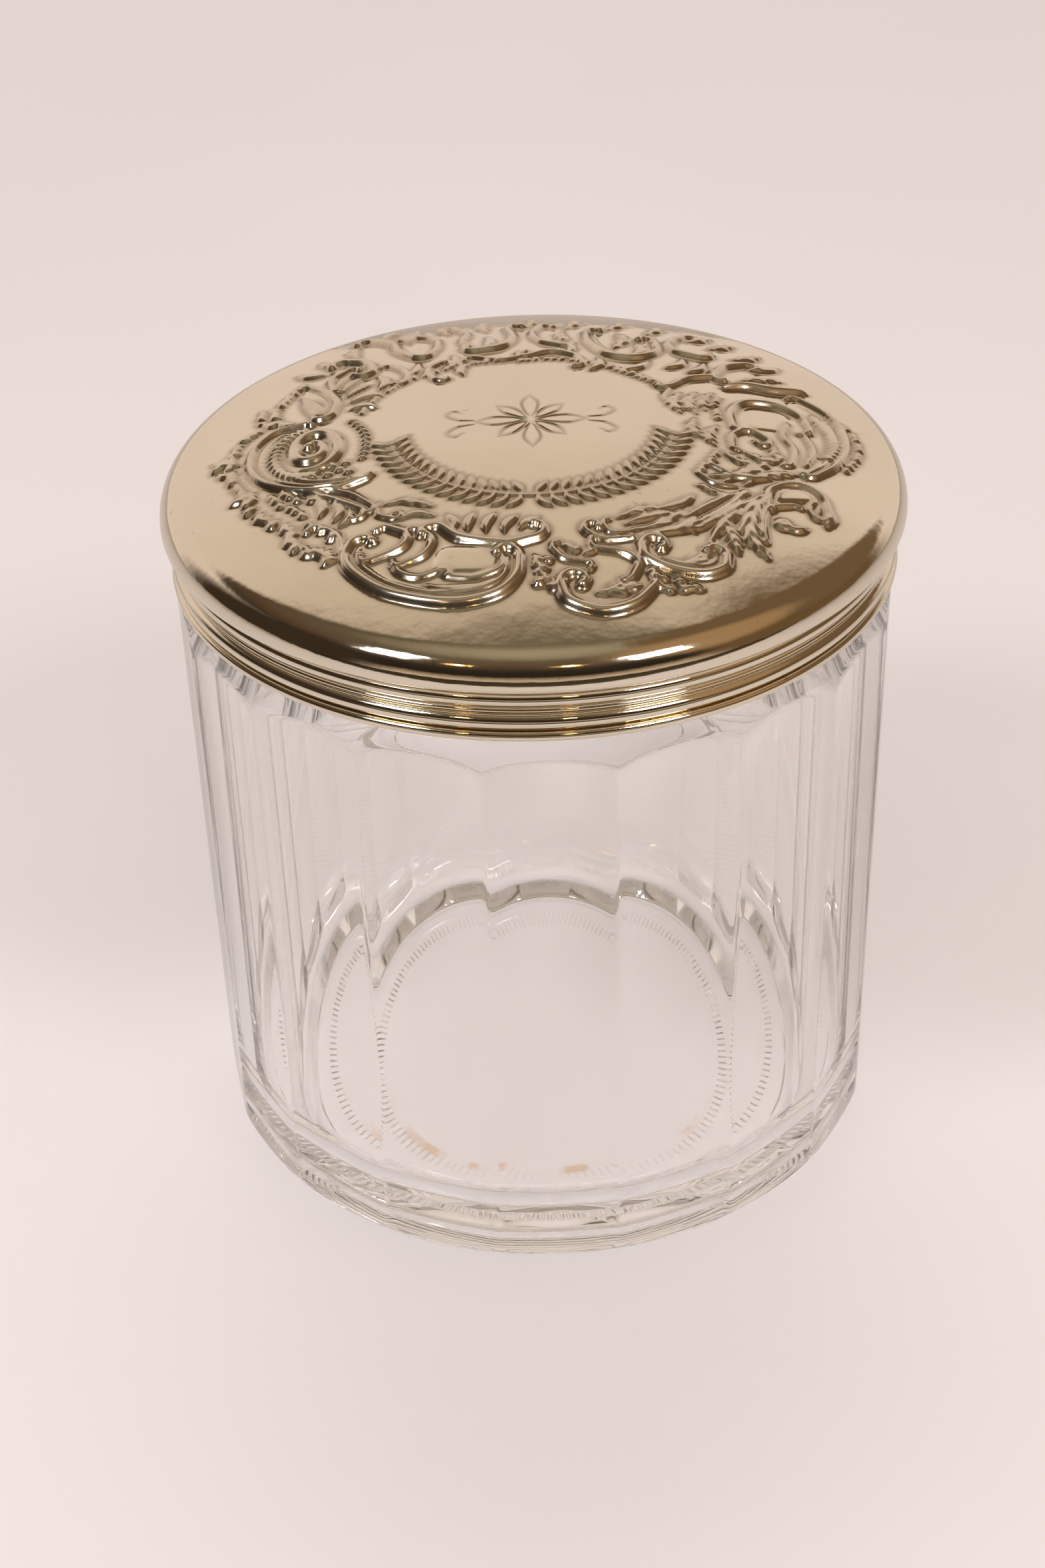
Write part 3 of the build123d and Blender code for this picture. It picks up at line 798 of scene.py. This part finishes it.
def left_shell(r):
    """The shell volute in its double C-frame."""
    coil = []
    for turn in range(-110, 500, 30):
        reach = 1.0 - 0.82 * (turn + 110) / 610
        coil.append((-40.6 + 5.6 * reach * cos(radians(turn)), -2.6 + 8.2 * reach * sin(radians(turn))))
    r.scroll(coil, 1.5, 1.5)
    r.boss(coil[-1], 1.2, 1.5)
    r.fan((-41.2, -3.2), (5.4, 7.6), (7.9, 10.2), 88, 268, 19, 0.75, 1)
    r.scroll(((-42.4, 8.3), (-47.8, 7.3), (-51.6, 2), (-52, -5.4), (-48.6, -12.2), (-42.4, -16.8),
        (-35.4, -18.2), (-30.6, -16.6)), 0.95, 1.5, -60, 60, 1.9)
    r.scroll(((-43.8, -12.6), (-38.4, -15), (-33.6, -15.2)), 0.6, 0.9)
    r.beads(((-33.4, 6.4), (-31.2, 1.8), (-30.6, -3.4), (-31.6, -10.4)), 0.85, 0.9, 1.75)
    r.bosses(((-39.6, -11.2), (-37.6, -12.6), (-35.4, -11.6), (-33.8, -12.8), (-37, -9.8), (-34.4, -9.6)),
        1, 1, 0.3)
    r.crest(((-49.6, 10.4), (-54, 5), (-55.2, -2.6), (-53.8, -9.6), (-50.8, -15)), 2.8, 1, 1.7, 40, -1)
    r.crest(((-53.6, 2.8), (-56.4, 0.2), (-57.6, -2)), 2.6, 1, 1.6, 20, -1)
    r.leaf(((-54, -2.2), (-57.4, -0.6), (-59.8, 1.2)), 1, 1.2)
    r.leaf(((-54.4, -5), (-57, -5), (-58.4, -3.4)), 0.9, 1)
    r.leaf(((-50.8, -13.6), (-53.6, -15.4), (-55.4, -16.2)), 1.2, 1.2)
    r.crest(((-46.6, -14.8), (-41.4, -19.2), (-35.6, -20.6)), 2.6, 0.9, 2, 45, -1)
    # leaf and hooked scroll over the shell
    r.scroll(((-41.4, 26), (-38.4, 21.6), (-36.4, 16), (-37.2, 10.8)), 1.1, 1.4, 110, -190, -1.8)
    r.leaf(((-43.4, 21.6), (-41.6, 17.6), (-40.2, 13), (-41, 9.6)), 1.9, 1.1, 0, 0)
    r.scroll(((-34.8, 32.6), (-37.8, 28.2), (-37.4, 22.8)), 0.85, 1.2, -150, 80)
    r.leaves((((-36.6, 23.4), (-35.6, 26.6), (-33.6, 29.4)), ((-35.4, 20.8), (-34, 24.4), (-31.8, 26.8)),
        ((-34.6, 17.8), (-32.6, 20.6), (-29.6, 22.6)), ((-34.2, 14.6), (-31.4, 16.6), (-28.4, 16.6)),
        ((-34, 11.6), (-31, 12.4), (-28.8, 10.8))), 1.15, 1)
    r.crest(((-43, 9.2), (-46.6, 12.8), (-47, 18), (-44.6, 23.2), (-42.2, 27.4)), 3.2, 1, 1.8, 35)
    r.crest(((-46.8, 10.6), (-50, 14.6), (-49.6, 19.6)), 2.6, 0.8, 1.7, 35)
    r.crest(((-31.6, 7.8), (-29.6, 12.6), (-27.2, 16.4), (-24, 19.8)), 2.2, 0.7, 1.6, 45)


def garland(r):
    """A plain laurel garland round the front of the medallion, from side to side."""
    def around(reach, azimuth):
        return reach * sin(azimuth), -reach * cos(azimuth)

    r.scroll([around(26.6, radians(azimuth)) for azimuth in range(-80, 81, 10)], 0.45, 0.5)
    for k in range(-15, 16):
        azimuth = radians(5.2 * k)
        lean = 0.09 * (1 if k >= 0 else -1)
        for root, tip in ((26.9, 30.4), (26.3, 22.8)):
            middle = around((root + tip) / 2, azimuth + 0.35 * lean)
            r.leaf((around(root, azimuth), middle, around(tip, azimuth + lean)), 0.85, 0.65, 0, 0.3)


def rosette(r):
    """A plain engraved rosette in the middle of the medallion, with a small curl on each side."""
    for petal in range(8):
        tip = 8.6 if petal % 2 else 10.4
        for lean in (-16, 16):
            r.line([step_along(radians(45 * petal + share * lean), reach)
                    for reach, share in ((1.4, 0.4), (0.35 * tip, 1), (0.7 * tip, 0.75), (tip, 0))], 0.5)
    for side in (-1, 1):
        for lift in (-1, 1):
            r.line([(side * x, lift * y)
                    for x, y in ((10.8, 0.8), (13.6, 1.4), (15.6, 3.6), (14.2, 5.2), (12.8, 3.9))], 0.5)


def back_scrolls(r):
    """The dense run of scrolls and leaves across the back."""
    r.scroll(((-32.6, 35.6), (-29, 32.8), (-28.4, 28.6)), 1.2, 1.5, 130, -150)
    r.scroll(((-28, 47.6), (-24.6, 43.6), (-23.4, 37.6), (-20.8, 33.4)), 1.1, 1.4, 140, 150)
    r.scroll(((-20.8, 46.8), (-16.6, 43.2), (-16.4, 37.4), (-18.2, 33.2)), 0.9, 1.2, 150, -120)
    r.leaf(((-21.4, 43), (-21, 47.2), (-19.4, 51)), 1.9, 1.2, 0, 0.2)
    r.scroll(((-16.4, 28.4), (-18.6, 25.2), (-17.6, 20.8)), 0.8, 1.1, -150, 150)
    r.scroll(((-24.8, 29.6), (-22.4, 25.6), (-22.6, 21.2)), 0.8, 1, 120, -140)
    r.scroll(((-12.8, 49.8), (-10.6, 45), (-11.6, 39.6), (-9, 35.4)), 0.9, 1.2, 150, 130)
    r.scroll(((-3, 47), (-2.2, 40.6), (-4.4, 35.4), (-9.2, 33.8)), 1.1, 1.4, -140, -130)
    r.scroll(((-9.8, 30.4), (-5, 28.2), (0.2, 29.8)), 0.8, 1, 150, 150)
    r.scroll(((0.6, 29.6), (4.8, 31.6), (9.2, 29.4), (10.8, 25.8)), 0.9, 1.2, -150, -130)
    r.scroll(((3, 47.8), (1.6, 42.8), (3, 37.8), (6.8, 35.2)), 0.9, 1.2, -150, 140)
    r.scroll(((11.6, 43.4), (12, 36.6), (15.4, 29.8), (20.6, 28.4), (24.4, 32.4), (24.4, 38.4)),
        1.1, 1.4, -130, 150, 1.7)
    r.leaf(((16.4, 33.6), (18.6, 38.4), (17.6, 43.6)), 1.5, 1.1, 3)
    r.scroll(((29.6, 42.6), (26.8, 38.4), (27.8, 33.2), (31.8, 30.8)), 1, 1.3, -150, 150)
    r.scroll(((33.4, 20.4), (29.4, 18.6), (26.4, 14.6)), 0.9, 1.2, 140, -140)
    r.scroll(((39.6, 28.8), (36, 26), (34, 21.4)), 1, 1.3, -150, 130)
    for *row, width in (((-30.6, 37.6), (-31.8, 41.2), (-30.8, 44.8), 1.3),
            ((-33.8, 34.6), (-36.6, 36.4), (-37.6, 39.2), 1.2),
            ((-26.2, 47.6), (-25.4, 50.2), (-22.8, 51.8), 1.2),
            ((-36.2, 30.6), (-39.8, 31.4), (-42, 33.6), 1.2), ((-13.8, 46), (-15.2, 49.6), (-14, 52.6), 1.3),
            ((-6.8, 46), (-7.8, 50.2), (-6.2, 53.2), 1.4), ((0.4, 48), (1.8, 51.4), (1.4, 54.6), 1.4),
            ((7.8, 46.4), (9.6, 49.8), (9.6, 53.2), 1.5), ((15.4, 45.8), (17.8, 49), (18.2, 52), 1.4),
            ((22.6, 43.4), (24.8, 46.6), (24.8, 49.6), 1.4), ((29.6, 40.4), (32.8, 41.8), (34.6, 44.2), 1.3),
            ((33.8, 36.6), (36.6, 38.4), (38.6, 40.4), 1.5), ((37.6, 31.6), (41.2, 33.2), (43, 35.8), 1.3),
            ((40.2, 26.6), (44, 27.8), (46.2, 30), 1.2), ((-27.6, 25.6), (-26.2, 22), (-27.4, 18.6), 1.2),
            ((-13.6, 32.6), (-13.2, 28.6), (-14.8, 25.2), 1.2),
            ((-20, 29.8), (-20.4, 26.6), (-21.6, 23.6), 1), ((8.2, 36.6), (8.8, 33.4), (7.8, 30.6), 1.1),
            ((-7, 42.6), (-6.4, 38.8), (-7.6, 35.8), 1.2), ((7.4, 44.4), (6.8, 41.2), (8.4, 38.2), 1.3),
            ((20.6, 36.8), (21.6, 33.6), (20.4, 30.6), 1.1), ((29, 29.4), (28.4, 26), (25.6, 23.6), 1.2),
            ((32.8, 27.8), (32, 24.4), (29.6, 22), 1.1), ((23, 26.6), (20.8, 23.4), (17.4, 21.8), 1.1),
            ((13.4, 28.4), (14, 24.8), (12, 22), 1), ((-10.4, 27.2), (-12.6, 24.6), (-12.2, 21.6), 1)):
        r.leaf(row, width, 1.05, (0, 3)[width > 1.25])
    r.crest(((-24.6, 20), (-19, 22.4), (-12.6, 26), (-6, 27)), 2.2, 0.7, 1.6, 30)
    r.crest(((-2.4, 26.6), (5, 27.2), (11.6, 25), (17.6, 20.6), (22.6, 16.2)), 2.2, 0.7, 1.6, 30)
    r.beads(((12.8, 25.6), (19.4, 21.2), (24.4, 15.4)), 0.75, 0.8, 1.7)


def right_scroll(r):
    """The long gadrooned scroll down the right, and the spike and plain panel beside it."""
    r.leaf(((36.8, 16.6), (41.6, 18.6), (47.2, 18.4), (53.6, 19.6)), 1.5, 1.5, 0, 0)
    r.leaf(((40.6, 21.2), (44.8, 23.4), (49.4, 24.2)), 1.2, 1.1, 3)
    r.scroll(((37.4, -0.4), (37.4, 5.4), (40.6, 10.2), (46.4, 10.8), (50.6, 7.6), (52.2, 2.6)),
        1, 1.3, 90, -60)
    r.pillow((44.4, 4), (4.2, 4.4), 0, 0.5)
    r.scroll(((51.6, 15.6), (56.2, 10.2), (58.4, 3.6), (58.2, -4), (55.2, -10.8), (51.2, -15.6)),
        0.9, 1.4, 110, -110, -1.8)
    r.crest(((57.6, 8), (60, 1.8), (59.6, -4.6), (56.8, -10.4)), 1.9, 0.9, 1.25, 20)
    r.fan((48.6, -1), (6.2, 9.4), (8.8, 12.6), -48, 44, 13, 0.7, 0.9)
    r.scroll(((48, 3.4), (46.6, -1.8), (48.2, -7.2), (47.2, -12.2)), 0.75, 1.1, 0, -90)
    r.scroll(((51, -1), (51.8, -6.6), (49.8, -12.2)), 0.7, 1, 90)
    r.scroll(((36.6, -8.2), (37, -4), (40.4, -1.6), (43.4, -4.2)), 0.85, 1.1, 70, -230)
    r.leaves((((34.8, 13.6), (32.4, 9.6), (32.8, 5.4)), ((31.6, 13.2), (29.6, 8.4), (31, 3.6)),
        ((34.6, -0.6), (32.4, -4.6), (33.4, -8.6)), ((38.6, -9.8), (41.4, -11.8), (45, -12.2)),
        ((34.6, -10.2), (37.2, -13.2), (41.4, -14.6)), ((28.6, 12.6), (26.8, 8), (28, 3.4)),
        ((44.6, -6.4), (44.4, -9.4), (46.2, -12.6)), ((30.6, 1.8), (29.6, -2.2), (31.4, -6.2))), 1.25, 1, 3)
    r.scroll(((26.6, 14.2), (25.4, 9.6), (27.2, 5.4)), 0.6, 0.8, 110, 120)
    r.crest(((36.6, 12.2), (35.4, 7.6), (35.8, 2.2)), 2.2, 0.8, 1.7, 40, -1)
    r.crest(((33.6, -9.6), (31, -14.2), (28.6, -18.4)), 2.2, 0.7, 1.7, 40)


# ---- build the pieces
silver = silver_material("aged_silver_plate", (0.87, 0.80, 0.66), (0.32, 0.24, 0.16), 0.07, 0.13)
inner_plate = silver_material("dull_inner_plate", (0.72, 0.68, 0.62), (0.40, 0.34, 0.27), 0.30)

glass = make_glass()
glass.data.materials.append(glass_material())
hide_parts("glass_jar")
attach(glass, "jar")

dome = make_dome()
skirt = turned("beaded_skirt", skirt_section())
wire = turned("rim_wire", wire_section())
for piece, cad in ((dome, "lid_dome"), (skirt, "lid_skirt"), (wire, "lid_rim_wire")):
    piece.data.materials.append(silver)
    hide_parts(cad)
    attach(piece, "lid")

inner_looks = {"lid_liner": inner_plate, "moistener_cup": inner_plate, "moistener_grille": inner_plate,
               "lid_seal": cork_material(), "moistener_pad": felt_material()}
for name, material in inner_looks.items():
    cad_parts[name].data.materials.clear()
    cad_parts[name].data.materials.append(material)

# ---- studio
TABLE_HALF = 3000.0          # mm from the jar to the table's edges
TABLE_DROP = 0.05            # mm from the foot down to the table
DARK_EDGE = 0.45             # metres in front of the jar; beyond it the table is dark in mirrors only, a painted reflection of a dark room
DARK_BLEND = 0.03
BACKDROP = (0.84, 0.76, 0.75)
BACKDROP_NEAR = 0.8          # metres from the jar where the table starts to pass into the backdrop
BACKDROP_FAR = 1.8
AIM_Z = 0.12                 # metres; the level that the lights are aimed at
BOUNCES = 40                 # fewer leave black lines in the thick glass


def make_floor():
    """Pale seamless table top."""
    corners = [(x * TABLE_HALF, y * TABLE_HALF, -TABLE_DROP)
               for x, y in ((-1, -1), (1, -1), (1, 1), (-1, 1))]
    floor = new_object("floor", corners, [(0, 1, 2, 3)])
    material, tree, shader = nodes_of("pale_table")
    tint = ramp(tree, noise(tree, 4, 2), (0.3, (0.86, 0.81, 0.82)), (0.8, (0.90, 0.85, 0.86)))
    rays = tree.nodes.new("ShaderNodeLightPath")
    place = object_place(tree)
    # painted reflection: the table beyond DARK_EDGE is dark only to mirrored rays
    beyond = map_range(tree, axes(tree, place)[1], -DARK_EDGE - DARK_BLEND, -DARK_EDGE, 1.0, 0.0)
    mirrored = product(tree, beyond, math_node(tree, "MINIMUM", rays.outputs["Glossy Depth"], 1.0))
    base = mix_colour(tree, mirrored, tint, (0.05, 0.035, 0.02))
    feed(tree, shader, {"Base Color": base, "Roughness": 0.55})
    # far off the table passes into the backdrop without a seam
    far = node(tree, "ShaderNodeVectorMath", {0: place}, operation="LENGTH")
    share = product(tree, map_range(tree, far.outputs["Value"], BACKDROP_NEAR, BACKDROP_FAR, 0.0, 1.0),
                    rays.outputs["Is Camera Ray"])
    backdrop = node(tree, "ShaderNodeEmission", {"Color": BACKDROP})
    mix_shaders(tree, share, shader.outputs["BSDF"], backdrop.outputs["Emission"])
    floor.data.materials.append(material)


def unit_vector(azimuth, elevation):
    """A direction of the room, in degrees, azimuth from the front towards +X."""
    a = radians(azimuth)
    e = radians(elevation)
    return sin(a) * cos(e), -cos(a) * cos(e), sin(e)


def toward(tree, direction, azimuth, elevation, inner, outer):
    """1 within inner degrees of a direction of the room, falling to 0 at outer degrees from it."""
    dot = node(tree, "ShaderNodeVectorMath", {0: direction, 1: unit_vector(azimuth, elevation)},
               operation="DOT_PRODUCT")
    return map_range(tree, dot.outputs["Value"], cos(radians(outer)), cos(radians(inner)), 0.0, 1.0,
                     interpolation_type="SMOOTHSTEP")


def make_world():
    """A pale room whose dark near side shows only where something mirrors it."""
    world = bpy.data.worlds.new("studio")
    world.use_nodes = True
    bpy.context.scene.world = world
    tree = world.node_tree
    direction = tree.nodes.new("ShaderNodeTexCoord").outputs["Generated"]
    height = map_range(tree, axes(tree, direction)[2], 0.0, 1.0, 0.0, 1.0)
    room = ramp(tree, height, (0.0, BACKDROP), (0.5, (0.84, 0.76, 0.74)), (0.8, (0.70, 0.62, 0.56)),
                (1.0, (0.40, 0.34, 0.26)))
    dark = ramp(tree, height, (0.0, (0.60, 0.51, 0.42)), (0.09, (0.44, 0.35, 0.27)),
                (0.24, (0.022, 0.016, 0.011)), (0.5, (0.03, 0.025, 0.02)), (0.71, (0.11, 0.07, 0.045)),
                (0.89, (0.15, 0.125, 0.085)), (1.0, (0.40, 0.36, 0.28)))
    colour = room
    for azimuth, elevation, inner, outer, shade in (
            (0, 52, 63, 70, dark), (-84, 4, 26, 44, (0.045, 0.032, 0.022)),
            (84, 8, 26, 44, (0.16, 0.10, 0.05)), (-110, 55, 20, 28, dark),
            (105, 45, 29, 35, (0.18, 0.12, 0.07)), (62, 46, 14, 30, (0.40, 0.27, 0.15))):
        colour = mix_colour(tree, toward(tree, direction, azimuth, elevation, inner, outer), colour, shade)
    rays = tree.nodes.new("ShaderNodeLightPath").outputs
    colour = mix_colour(tree, rays["Is Glossy Ray"], colour, (0.93, 0.85, 0.75), "MULTIPLY")
    # the share of the dark side: whole in a mirror, less inside the glass, half in diffuse light
    mirrored = product(tree, math_node(tree, "MINIMUM", rays["Glossy Depth"], 1.0),
                       map_range(tree, rays["Is Transmission Ray"], 0.0, 1.0, 1.0, 0.65))
    mirrored = math_node(tree, "MAXIMUM", mirrored, product(tree, rays["Is Diffuse Ray"], 0.5))
    seen = mix_colour(tree, mirrored, room, colour)
    feed(tree, tree.nodes["Background"], {"Color": seen, "Strength": 1.0})


def area_light(name, azimuth, elevation, distance, size, power, colour, mirrored):
    """A soft light aimed at the lid; distance and size are in metres."""
    lamp = bpy.data.lights.new(name, "AREA")
    lamp.shape = "RECTANGLE"
    lamp.size, lamp.size_y = size
    lamp.energy = power
    lamp.color = colour
    thing = add_object(name, lamp)
    direction = Vector(unit_vector(azimuth, elevation))
    thing.location = direction * distance + Vector((0, 0, AIM_Z))
    thing.rotation_euler = direction.to_track_quat("Z", "Y").to_euler()
    thing.visible_glossy = mirrored
    thing.visible_transmission = mirrored


def make_camera():
    """The viewpoint, solved from the circles of the jar: in front, looking down by about 34 degrees."""
    distance = 498.97
    height = RIM_Z + 280.17
    turn = radians(-1.3)
    yaw, pitch, roll = -0.0072968, 0.590475, -0.0306439
    camera = bpy.data.cameras.new("camera")
    camera.sensor_fit = "VERTICAL"
    camera.sensor_height = 36.0
    camera.lens = 68.88
    thing = add_object("camera", camera)
    place = Matrix.Translation(Vector((0, -distance, height)) * MM)
    thing.matrix_world = (Matrix.Rotation(turn, 4, "Z") @ place @ Matrix.Rotation(-yaw, 4, "Z")
                          @ Matrix.Rotation(pi / 2 - pitch, 4, "X") @ Matrix.Rotation(roll, 4, "Z"))
    bpy.context.scene.camera = thing


make_floor()
make_world()
# name, azimuth, elevation, distance, size, power, colour, and whether it is mirrored
area_light("left_softbox", -52, 47, 1.2, (0.24, 0.28), 3.4, (0.97, 0.98, 1.0), True)
area_light("left_bulb", -27, 42, 1.2, (0.06, 0.05), 0.24, (1.0, 0.62, 0.24), True)
area_light("right_bulb", 9, 42, 1.2, (0.06, 0.05), 0.24, (1.0, 0.62, 0.24), True)
area_light("right_softbox", 38, 43, 1.2, (0.28, 0.26), 3.4, (1.0, 0.99, 0.98), True)
area_light("overhead", 180, 52, 2.4, (1.6, 1.3), 12.0, (1.0, 0.965, 0.955), False)
area_light("front_fill", 0, 62, 2.4, (1.4, 1.2), 5.0, (1.0, 0.97, 0.96), False)
make_camera()
scene = bpy.context.scene
scene.cycles.max_bounces = BOUNCES
scene.cycles.transmission_bounces = BOUNCES
scene.cycles.glossy_bounces = BOUNCES
scene.cycles.caustics_reflective = False
scene.view_settings.view_transform = "Standard"
